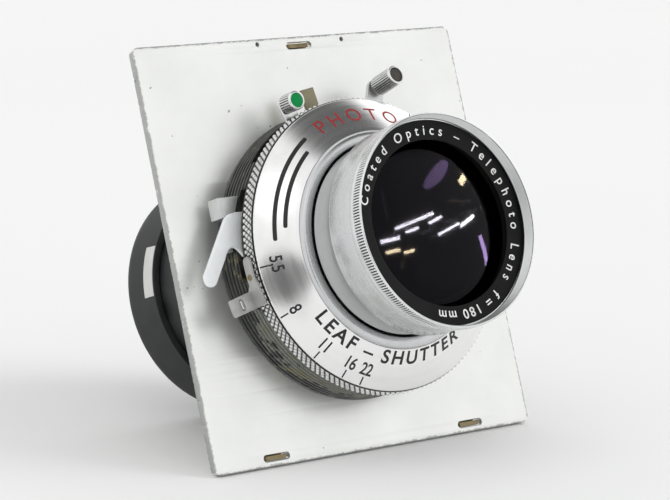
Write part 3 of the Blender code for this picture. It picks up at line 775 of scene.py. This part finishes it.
def front_cell():
    """The barrel with its hollow neck, the knurled and threaded rim, the trim ring and two elements."""
    neck = []
    for i in range(17):
        angle = math.radians(90 * i / 16)
        # neck points past the eighth take the neck's painted shade (material index 2)
        neck.append((BARREL_RADIUS - 3.5 * math.sin(angle), 26.6 + 3.8 * math.cos(angle), 2 if i > 7 else 0))
    barrel = [
        (20.9, 39.4),
        (24.3, 39.4),
        (BARREL_RADIUS, 38.8),
        (BARREL_RADIUS, 38.5),
        (24.75, 38.4),
        (24.75, 38.15),
        (BARREL_RADIUS, 38.05),
        *neck,
        (21.45, 25.2, 2),
        (21.7, 24.0, 2),
        (22.2, 23.0, 2),
        (22.8, 22.35, 2),
        (23.1, 22.15, 2),
        (23.1, 21.95, 2),
        (22.7, 21.2, 2),
        (21.9, 20.6),
        (21.4, 20.3),
        (17.1, 20.3),
        (17.1, 12.2),
        (15.4, 12.2, 1),
    ]
    threads = [(15.4 + (0.35 if i % 2 else 0.0), 12.6 + 0.55 * i, 1) for i in range(20)]
    barrel += [*threads, (15.4, 23.6, 1), (20.9, 24.6, 1)]
    mesh = turned(eased(barrel, 0.1, True, 2), 256)
    # the third finish, on the neck and on the collar points marked 2, is the neck's painted shade
    looks = [SATIN, MATT_BLACK, SHADED_NECK]
    piece("front_barrel", mesh, looks, CASE, ["front_cell_barrel"], crease=25.0)

    sides, count = 1440, 240
    outer = [(25.2, 39.7), (25.36, 39.8), (25.4, 40.6), (25.48, 40.7, 1), (25.5, 40.8, 1), (25.5, 42.9, 1)]
    outer += [(25.4, 43.0), (25.3, 43.12), (25.18, 43.24), (25.05, 43.3), (24.98, 43.3)]
    thread = []
    level = 43.1
    while level > 40.1:
        thread += [(24.95, level, 2), (24.72, level - 0.19, 2)]
        level -= 0.38
    profile = outer + thread + [(24.67, 39.9), (24.67, 39.7)]
    mesh = turned(profile, sides, True, lambda i, j: teeth(j, count, sides, 0.42) if 3 <= i <= 5 else 0.0)
    looks = [FRONT_RIM, FRONT_TEETH, THREAD]
    piece("front_rim", mesh, looks, CASE, ["front_knurled_rim"], crease=35.0)

    trim = [(TRIM_RADIUS, 39.9), (20.1, 39.945), (24.1, 40.38), (24.3, 40.4)]
    trim += [(24.3, 39.8), (TRIM_RADIUS, 39.4)]
    piece("trim_ring", turned(eased(trim, 0.06), 256), TRIM_BLACK, CASE, ["front_trim_ring"])
    mesh = element((GLASS_RADIUS, 37.0, 3.0), (17.5, 33.4, -1.6))
    piece("front_element", mesh, [FRONT_GLASS, MATT_BLACK], CASE, ["front_glass"], crease=40.0)
    ribs = [(19.2 + (0.3 if i % 2 else 0.0), 33.1 - 0.35 * i) for i in range(13)]
    spacer = turned([(GLASS_RADIUS, 28.9), (GLASS_RADIUS, 33.1), *ribs], 144)
    piece("front_spacer", spacer, MATT_BLACK, CASE, ["front_glass_spacer"])
    mesh = element((GLASS_RADIUS, 28.6, 0.8), (15.0, 24.9, 1.2))
    looks = [INNER_GLASS, MATT_BLACK]
    piece("front_inner_element", mesh, looks, CASE, ["front_inner_glass"], crease=40.0)


def rear_cell():
    """The black barrel behind the board, its wider rim with a paper label, and the rear element."""
    barrel = [
        (15.4, 1.0, 1),
        (17.1, 1.0),
        (17.1, -5.3),
        (20.5, -5.3),
        (22.0, -6.0),
        (REAR_RADIUS, -11.0),
        (REAR_RADIUS, -13.0),
        (26.0, -13.2),
        (26.0, -13.5),
        (REAR_RADIUS, -13.7),
        (REAR_RADIUS, -46.3),
        (24.5, -46.3, 1),
        (24.5, -14.0, 1),
        (15.4, -9.0, 1),
    ]
    mesh = turned(eased(barrel, 0.2), 256)
    piece("rear_barrel", mesh, [BLACK, MATT_BLACK], CASE, ["rear_cell_barrel"])
    band = [
        (26.5, -39.8),
        (28.4, -39.8),
        (29.45, -48.2),
        (29.52, -48.5),
        (29.52, -49.8),
        (25.4, -49.8),
        (25.4, -46.6),
        (26.5, -46.6),
    ]
    piece("rear_band", turned(eased(band, 0.22), 256), BLACK, CASE, ["rear_rim"])
    start, end, back, front = 152.1, 178.0, -43.45, -40.05
    steps = 24
    rings = []
    for i in range(steps + 1):
        ring = []
        for z, lift in ((back, 0.01), (back, 0.09), (front, 0.09), (front, 0.01)):
            radius = 28.4 + (-39.8 - z) / 8.4 * 1.05
            ring.append((*polar(radius + lift, start + (end - start) * i / steps), z))
        rings.append(ring)
    piece("rear_label", swept(rings), PAPER, CASE, [])
    mesh = element((REAR_GLASS_RADIUS, -36.9, -2.2), (22.0, -44.0, -1.4))
    piece("rear_element", mesh, [FRONT_GLASS, MATT_BLACK], CASE, ["rear_glass"], crease=40.0)
    keep = [(22.3, -46.4), (REAR_GLASS_RADIUS, -46.4), (REAR_GLASS_RADIUS, -44.3), (22.3, -44.3)]
    rounds = eased(keep, 0.2)

    def notch(i, j):
        return 0.8 if j % 90 < 6 and rounds[i][1] < -45.8 and rounds[i][0] < 23 else 0.0

    mesh = turned(rounds, 180, True, notch)
    piece("rear_lock_ring", mesh, TRIM_BLACK, CASE, ["rear_glass_ring"])


# ---------------------------------------------------------------- controls


def ribbed(profile, count, ribs, depth, sides):
    """A turned grip with that many straight ribs on the profile points listed in ribs."""
    return turned(profile, sides, False, lambda i, j: teeth(j, count, sides, depth) if i in ribs else 0.0)


def release():
    """The release lever on its stud, its stop, and the cable release socket with its pin."""
    pivot = (-29.0, 8.8)
    outline = (
        arc(3.0, -60, 75, 12, pivot)
        + [(-31.5, 12.25), (-34.0, 12.35), (-35.4, 12.2), (-36.5, 11.85), (-37.4, 11.25), (-38.1, 10.4)]
        + [(-38.8, 9.3), (-42.6, 3.8), (-46.35, -1.65)]
        + arc(1.8, 186, 330, 14, (-44.6, -2.6))
        + [(-39.5, 1.65), (-39.0, 2.6), (-38.5, 3.25), (-37.8, 3.85), (-37.0, 4.15), (-36.2, 4.0)]
        + [(-35.5, 3.5), (-34.9, 2.7), (-34.3, 1.8), (-32.8, 2.2), (-31.6, 2.6)]
    )
    mesh = plate([outline, arc(1.6, 0, 345, 23, pivot)], 7.8, 8.8, 0.34, 3)
    piece("release_finger_lever", mesh, LEVER_WHITE, "release_lever", ["release_lever"])
    stud = [(0.0, 9.1), (0.5, 9.1), (0.5, 9.4), (1.3, 9.4), (1.3, 3.3), (0.0, 3.3)]
    stud = turned(eased(stud, 0.1, False), 48, False)
    piece("release_stud", stud, STEEL, CASE, ["release_pivot_stud"], stand(*pivot, 0.0))
    x, y = polar(36.6, 173.0)
    stop = block((x - 1.0, y - 1.1, 4.0), (x + 1.0, y + 1.1, 6.6), 0.2)
    piece("release_stop", stop, NICKEL, CASE, ["lever_stop"])
    relief = turned([(0.0, 12.0), (35.5, 12.0), (35.5, 0.0), (0.0, 0.0)], 180, False)
    quarter = Matrix.Rotation(math.radians(90), 4, "X")
    across = Matrix.Translation((-35.8 * MM, 14.0 * MM, 5.25 * MM)) @ quarter
    bore = moved(turned([(0.0, 4.0), (0.9, 4.0), (0.9, -4.0), (0.0, -4.0)], 40, False), across)
    socket = combined(block((-37.6, 11.4, 3.2), (-29.0, 16.3, 7.3), 0.16), "DIFFERENCE", relief, bore)
    piece("release_socket_block", socket, SOCKET, CASE, ["release_socket"])
    pin = turned(eased([(0.0, 2.0), (0.55, 2.0), (0.55, -2.0), (0.0, -2.0)], 0.15, False), 32, False)
    across.translation.y = 13.8 * MM
    piece("release_pin", pin, STEEL, "release_plunger", ["release_plunger"], across)


def aperture_lever():
    """A strip bent round the rim with a rounded top, a screw and a toothed edge, and an ear with a slot."""
    steps, top, low = 56, 178.5, 197.0
    rings = []
    for i in range(steps + 1):
        angle = top + (low - top) * i / steps
        along = (angle - top) / (low - top)
        start = 11.6 - 1.4 * min(1.0, max(0.0, (along - 0.55) / 0.15))
        end = 14.05 + 0.95 * min(1.0, max(0.0, (along - 0.42) / 0.14))
        if along < 0.09:
            pinch = 1.2 * (1 - math.sqrt(max(0.0, 1 - (1 - along / 0.09) ** 2)))
            start, end = start + pinch, end - pinch
        if 0.5 < along < 0.97 and i % 4 < 2:
            end -= 0.22
        section = [(36.3, start), (36.92, start), (37.0, start + 0.08)]
        section += [(37.0, end - 0.1), (36.9, end), (36.3, end)]
        rings.append([(*polar(radius, angle), z) for radius, z in section])
    along, across = polar(1.0, APERTURE_DEG), polar(1.0, APERTURE_DEG + 90)

    def at(r, s):
        return r * along[0] + s * across[0], r * along[1] + s * across[1]

    corners = ((36.0, -2.1), (42.9, -2.1), (43.3, -1.7), (43.3, 1.7), (42.9, 2.1), (36.0, 2.1))
    ear = [at(r, s) for r, s in corners]
    slot_radius = 40.2
    slot = [at(slot_radius + y, x) for x, y in slot_outline((0.0, 0.0), 2.9, 1.15)]
    mesh = joined(swept(rings), plate([ear, slot], 10.2, 11.2, 0.14))
    piece("aperture_index_lever", mesh, NICKEL, "aperture_control", ["aperture_lever"])
    x, y = at(slot_radius, 0.0)
    rivet = block((-0.3, -1.05, 10.3), (0.3, 1.05, 11.0), 0.25)
    turn = Matrix.Rotation(math.radians(APERTURE_DEG), 4, "Z")
    rivet = moved(rivet, Matrix.Translation((x * MM, y * MM, 0.0)) @ turn)
    piece("aperture_lever_rivet", rivet, BRIGHT, "aperture_control", [])
    head = [(0.0, 0.3), (0.18, 0.3), (0.2, 0.42), (0.62, 0.38), (0.72, 0.2), (0.72, -0.2), (0.0, -0.2)]
    screw = turned(head, 32, False)
    screw_deg = 186.0
    outward = Matrix.Rotation(math.radians(screw_deg), 4, "Z") @ Matrix.Rotation(math.radians(90), 4, "Y")
    x, y = polar(36.9, screw_deg)
    place = Matrix.Translation((x * MM, y * MM, 12.9 * MM)) @ outward
    piece("aperture_lever_screw", screw, GOLD_BROWN, "aperture_control", [], place)


def arm(half, reach, angle, inner, low, high):
    """A flat arm along a radius, with a round end."""
    along, across = polar(1.0, angle), polar(1.0, angle + 90)
    path = [(inner, -half), (reach, -half), *arc(half, -90, 90, 24, (reach, 0.0)), (inner, half)]
    outline = [(r * along[0] + s * across[0], r * along[1] + s * across[1]) for r, s in path]
    return plate([outline], low, high, 0.16, 2)


def cocking():
    """The cocking ring with its arm, and on it a ribbed grip with a rough dark insert in its end."""
    ring = turned(eased([(26.4, 6.9), (28.6, 6.9), (28.6, 5.9), (26.4, 5.9)], 0.1, True, 2), 144)
    bar = arm(2.4, 42.0, COCKING_DEG, 27.5, 5.95, 6.85)
    mesh = joined(ring, bar)
    piece("cocking_arm", mesh, SOCKET, "cocking_control", ["cocking_ring"])
    x, y = polar(42.4, COCKING_DEG)
    place = stand(x, y, 6.85, 10.0, COCKING_DEG)
    grip = [(0.0, 7.25), (1.82, 7.25), (1.86, 7.92), (1.9, 8.0), (2.12, 8.0), (2.3, 7.92), (2.38, 7.7)]
    grip += [(2.38, 7.45), (2.4, 7.4), (2.4, 1.0), (2.3, 0.9), (1.8, 0.75), (0.0, 0.75)]
    mesh = ribbed(grip, 26, (8, 9), 0.3, 208)
    piece("cocking_grip", mesh, KNURL, "cocking_control", ["cocking_knob"], place, 35.0)
    lip = [(1.88, 7.98), (1.9, 8.06), (1.95, 8.1), (2.15, 8.1)]
    lip += [(2.32, 8.03), (2.42, 7.8), (2.42, 7.5), (2.2, 7.5)]
    lip = turned(eased(lip, 0.03), 96)
    piece("cocking_grip_lip", lip, BRIGHT, "cocking_control", [], place)
    shape = bmesh.new()
    bmesh.ops.create_grid(shape, x_segments=28, y_segments=28, size=1.75 * MM)
    for vertex in list(shape.verts):
        if vertex.co.length > 1.76 * MM:  # the grid's corners, outside the round end
            shape.verts.remove(vertex)
            continue
        vertex.co.z = (7.72 + 0.14 * random.random()) * MM
    low = bmesh.ops.extrude_face_region(shape, geom=list(shape.faces))
    for vertex in (v for v in low["geom"] if isinstance(v, bmesh.types.BMVert)):
        vertex.co.z = 7.3 * MM
    body, node_name = "cocking_control", "cocking_knob_insert"
    piece("cocking_grip_insert", tidy(shape), INSERT, body, [node_name], place)


def selector():
    """The selector arm, its ribbed grip with a green dot, and the catch beside it."""
    foot = plate([sector(27.2, 29.8, 101.0, 117.0, 12)], 7.85, 8.75, 0.1)
    reach = 39.1
    mesh = joined(arm(2.0, reach, SELECTOR_DEG, 27.8, 7.8, 8.8), foot)
    piece("selector_arm", mesh, BRIGHT, "selector", ["selector_lever"])
    x, y = polar(reach, SELECTOR_DEG)
    place = stand(x, y, 0.0)
    post = [(0.0, 12.95), (1.8, 12.95), (2.25, 13.0), (2.35, 12.9), (2.35, 9.4), (2.1, 9.1), (0.0, 9.1)]
    mesh = ribbed(post, 24, (3, 4), 0.3, 192)
    piece("selector_grip", mesh, KNURL, "selector", ["selector_post"], place, 35.0)
    lip = [(1.78, 13.1), (1.78, 13.36), (2.0, 13.42), (2.28, 13.28), (2.33, 12.98), (2.0, 12.98)]
    piece("selector_grip_lip", turned(eased(lip, 0.05), 96), BRIGHT, "selector", [], place)
    dot = [(0.0, 13.34), (0.8, 13.33), (1.5, 13.29), (1.75, 13.2), (1.75, 12.99), (0.0, 12.99)]
    mesh = turned(dot, 64, False)
    piece("selector_green_dot", mesh, GREEN, "selector", ["selector_dot"], place)
    turn = Matrix.Rotation(math.radians(99.0), 4, "Z")
    catch = moved(block((30.6, -2.0, 7.8), (40.6, 2.0, 8.6), 0.18), turn)
    piece("selector_catch_slide", catch, BRASS, "selector_catch", ["selector_catch"])


def carried_over():
    """The nodes inside and behind the shutter keep their own shape, and get their finish here."""
    finishes = {
        GOLD_BROWN: ["light_trap_frame"],
        BRASS: ["retard_wheel", "retard_pinion"],
        STEEL: ["shutter_base_plate", "iris_base_plate", "blade_drive_ring", "mainspring"]
        + ["retard_wheel_post", "retard_pinion_post"],
        LEAF: [f"{kind}_blade_{i}" for kind in ("shutter", "iris") for i in range(1, 6)],
        DARK: ["front_mount_tube"],
        MATT_BLACK: ["rear_baffle_tube"],
        INNER_GLASS: ["rear_inner_glass"],
    }
    for finish, names in finishes.items():
        for name in names:
            for slot in frame["nodes"][name].material_slots:
                slot.material = finish


# ---------------------------------------------------------------- floor, light and camera


def heading(azimuth, elevation):
    """The unit vector at that azimuth, counted from straight ahead of the lens towards +X, and elevation."""
    a, e = math.radians(azimuth), math.radians(elevation)
    return Vector((math.sin(a) * math.cos(e), -math.cos(a) * math.cos(e), math.sin(e)))


def world():
    """A white room: brighter toward some lights, and darker where the room behind the camera shows."""
    made = bpy.data.worlds.new("room")
    bpy.context.scene.world = made
    made.use_nodes = True
    tree = made.node_tree
    way = node(tree, "TexCoord").outputs["Generated"]
    level = node(tree, "Value").outputs[0]
    level.default_value = 0.97
    # each patch's azimuth, elevation, full radius and outer radius, in degrees, and its strength
    for azimuth, elevation, inner, outer, strength in (
        (-30.0, 52.0, 5.0, 14.0, 1.35),
        (-27.0, 12.0, 9.5, 14.0, 0.15),
        (106.0, 32.0, 10.0, 18.0, 1.4),
        (72.0, 62.0, 17.0, 26.0, 0.12),
    ):
        axis = tuple(heading(azimuth, elevation))
        facing = node(tree, "VectorMath", {0: way, 1: axis}, operation="DOT_PRODUCT").outputs["Value"]
        share = spread(tree, facing, math.cos(math.radians(outer)), math.cos(math.radians(inner)))
        mixed = node(tree, "Mix", {0: share, 2: level, 3: strength})
        level = mixed.outputs[0]
    tree.links.new(level, tree.nodes["Background"].inputs["Strength"])
    tree.nodes["Background"].inputs["Color"].default_value = (1.0, 1.0, 1.0, 1.0)


def aimed(obj, place, target):
    obj.location = place
    obj.rotation_mode = "QUATERNION"
    obj.rotation_quaternion = (Vector(target) - Vector(place)).to_track_quat("-Z", "Y")


def lamp(name, kind, place, target, energy, **settings):
    data = bpy.data.lights.new(name, kind)
    data.energy = energy
    for key, value in settings.items():
        setattr(data, key, value)
    obj = bpy.data.objects.new(name, data)
    bpy.context.scene.collection.objects.link(obj)
    aimed(obj, place, target)
    return obj


def studio():
    """The room, a soft key light, the lamps that the front glass mirrors, and the floor."""
    world()
    key = lamp("key_light", "SUN", (0.9, -1.0, 0.75), (0.0, 0.0, 0.0), 1.0, angle=math.radians(30))
    key.visible_glossy = False  # it lights the metals without a bright spot in them
    glass_only = bpy.data.collections.new("seen_in_the_glass")
    glass_only.objects.link(bpy.data.objects["front_element"])
    white, violet, yellow = (1.0, 1.0, 1.0), (0.72, 0.5, 1.0), (1.0, 0.85, 0.5)
    # each lamp's azimuth, elevation, length and width, in degrees, then its radiance and colour
    tubes = (
        (30.0, 26.0, 19.0, 0.9, 125.0, white),
        (40.0, 23.5, 7.0, 0.9, 125.0, white),
        (27.0, 23.5, 6.0, 0.9, 125.0, white),
        (56.0, 18.0, 9.0, 0.9, 125.0, white),
        (45.0, 19.0, 12.0, 0.7, 125.0, white),
        (16.0, 22.5, 8.0, 1.2, 125.0, white),
        (16.0, 18.5, 6.0, 1.2, 110.0, yellow),
        (23.0, 17.0, 5.0, 1.0, 110.0, yellow),
        (65.0, 27.0, 4.5, 1.8, 75.0, yellow),
        (53.5, 34.0, 18.0, 4.0, 6.5, violet),
        (60.0, 8.0, 2.0, 9.0, 40.0, violet),
    )
    away = 2.5  # metres
    glass = (0.0, 0.0, 0.06)
    for i, (azimuth, elevation, length, width, radiance, colour) in enumerate(tubes):
        place = heading(azimuth, elevation) * away
        across, high = (2 * away * math.tan(math.radians(v / 2)) for v in (length, width))
        energy = radiance * math.pi * across * high
        form = "ELLIPSE" if min(length, width) > 2.5 else "RECTANGLE"
        tube = lamp(f"tube_{i + 1}", "AREA", place, glass, energy, shape=form, color=colour)
        tube.data.size, tube.data.size_y = across, high
        tube.light_linking.receiver_collection = glass_only
    shape = bmesh.new()
    bmesh.ops.create_grid(shape, x_segments=8, y_segments=8, size=6.0)
    mesh = bpy.data.meshes.new("floor")
    shape.to_mesh(mesh)
    shape.free()
    mesh.materials.append(paint("floor_paper", (0.88, 0.88, 0.88), (0.89, 0.89, 0.89), 0.9, 20.0, 0.02))
    floor = bpy.data.objects.new("floor", mesh)
    bpy.context.scene.collection.objects.link(floor)


def camera():
    place = Matrix.Translation((-0.43454, -0.56070, 0.17514))  # metres, in the part's frame
    azimuth, below, roll = math.radians(37.86), math.radians(10.33), math.radians(0.78)
    data = bpy.data.cameras.new("camera")
    data.sensor_width = 36.0
    data.lens = 159.62
    data.clip_start, data.clip_end = 0.01, 50.0
    obj = bpy.data.objects.new("camera", data)
    bpy.context.scene.collection.objects.link(obj)
    level = Vector((math.sin(azimuth), math.cos(azimuth), 0.0)) * math.cos(below)
    sight = level - Vector((0.0, 0.0, math.sin(below)))
    turn = sight.to_track_quat("-Z", "Y").to_matrix() @ Matrix.Rotation(roll, 3, "Z")
    obj.matrix_world = place @ turn.to_4x4()
    bpy.context.scene.camera = obj


camera()
board()
case()
rim()
face()
engraving()
front_cell()
rear_cell()
release()
aperture_lever()
cocking()
selector()
carried_over()
studio()
bpy.context.scene.view_settings.view_transform = "Standard"
